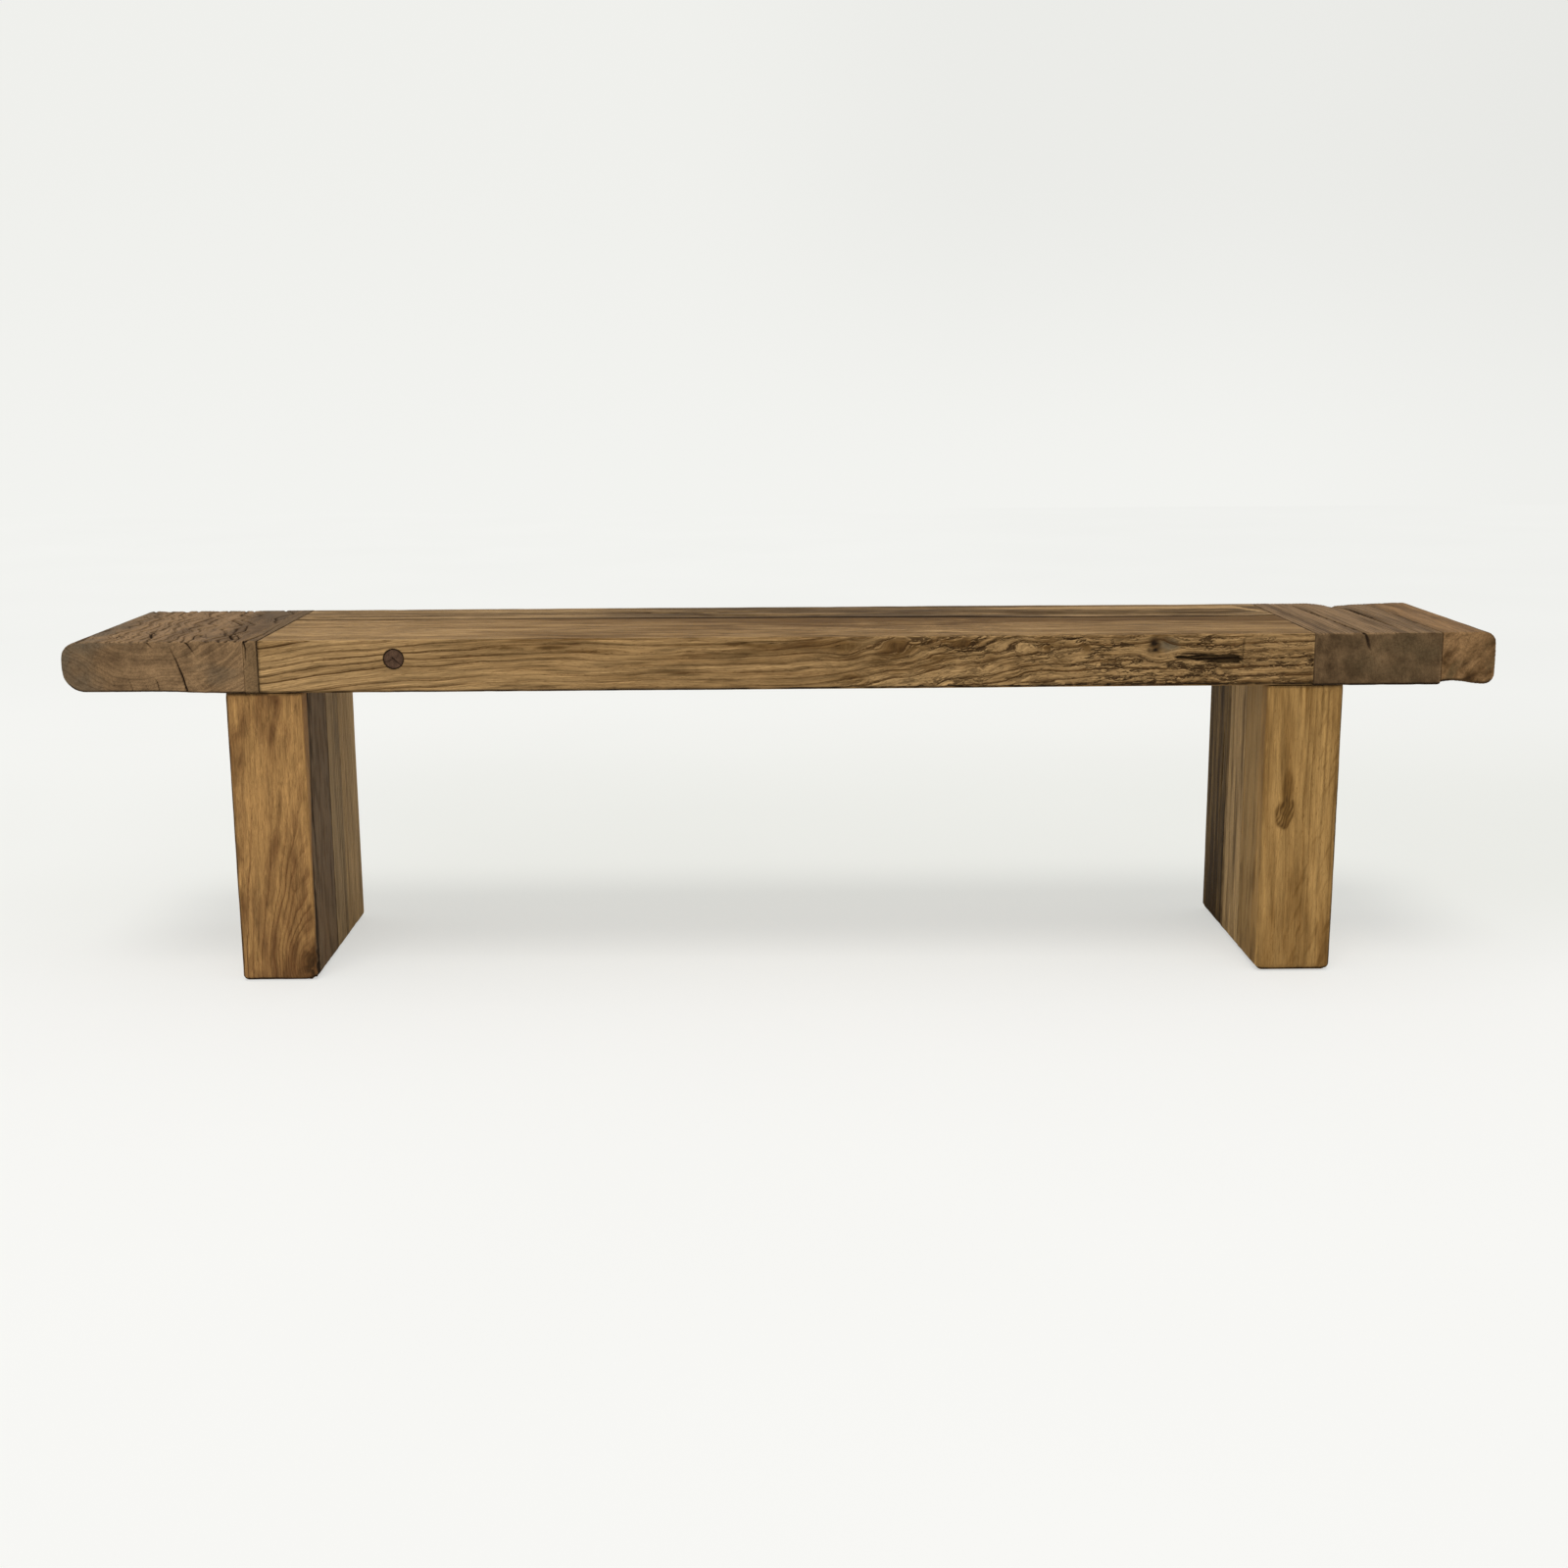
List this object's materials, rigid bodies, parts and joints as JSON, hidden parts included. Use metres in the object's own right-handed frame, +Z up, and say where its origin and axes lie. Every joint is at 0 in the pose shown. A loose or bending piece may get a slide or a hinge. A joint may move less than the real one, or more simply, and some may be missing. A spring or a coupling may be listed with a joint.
{
  "type": "bench",
  "caption": "Low bench of thick reclaimed oak: long seat beams between crosswise end timbers, on slab legs built up from upright posts.",
  "frame": {"origin": "on the floor under the middle of the bench: the bottom centre of its bounding box", "axes": "+X runs along the bench to the viewer's right in the picture, -Y is the front that the picture shows, +Z is up"},
  "size_m": [1.83, 0.335, 0.45],
  "materials": {
    "honey_oak": "worn reclaimed oak, hand waxed, satin",
    "brown_oak": "weathered brown reclaimed oak, hand waxed, satin",
    "grey_oak": "grey-brown weathered oak, hand waxed, satin",
    "dark_oak": "dark weathered oak, hand waxed, satin",
    "golden_oak": "freshly planed golden oak, hand waxed, satin",
    "peg_oak": "dark end grain of an old peg, waxed",
    "new_oak": "plain new oak, unfinished"
  },
  "bodies": {
    "root": {"front_beam": "honey_oak", "rear_beam": "brown_oak", "left_end_block": "brown_oak", "left_end_slip": "grey_oak", "right_inner_block": "dark_oak", "right_outer_block": "brown_oak", "beam_peg": "peg_oak", "left_leg_front_post": "golden_oak", "left_leg_middle_post": "grey_oak", "left_leg_rear_post": "brown_oak", "right_leg_front_post": "golden_oak", "right_leg_middle_post": "grey_oak", "right_leg_rear_post": "dark_oak", "left_joint_tenon_1": "new_oak", "left_joint_tenon_2": "new_oak", "left_joint_tenon_3": "new_oak", "right_joint_tenon_1": "new_oak", "right_joint_tenon_2": "new_oak", "right_joint_tenon_3": "new_oak", "right_block_dowel_1": "new_oak", "right_block_dowel_2": "new_oak", "right_block_dowel_3": "new_oak", "beam_edge_dowel_1": "new_oak", "beam_edge_dowel_2": "new_oak", "beam_edge_dowel_3": "new_oak", "beam_edge_dowel_4": "new_oak", "beam_edge_dowel_5": "new_oak", "left_leg_cross_rod_1": "new_oak", "left_leg_cross_rod_2": "new_oak", "right_leg_cross_rod_1": "new_oak", "right_leg_cross_rod_2": "new_oak", "left_leg_top_dowel_1": "new_oak", "left_leg_top_dowel_2": "new_oak", "left_leg_top_dowel_3": "new_oak", "left_leg_top_dowel_4": "new_oak", "left_leg_top_dowel_5": "new_oak", "left_leg_top_dowel_6": "new_oak", "right_leg_top_dowel_1": "new_oak", "right_leg_top_dowel_2": "new_oak", "right_leg_top_dowel_3": "new_oak", "right_leg_top_dowel_4": "new_oak", "right_leg_top_dowel_5": "new_oak", "right_leg_top_dowel_6": "new_oak"}
  },
  "joints": []
}
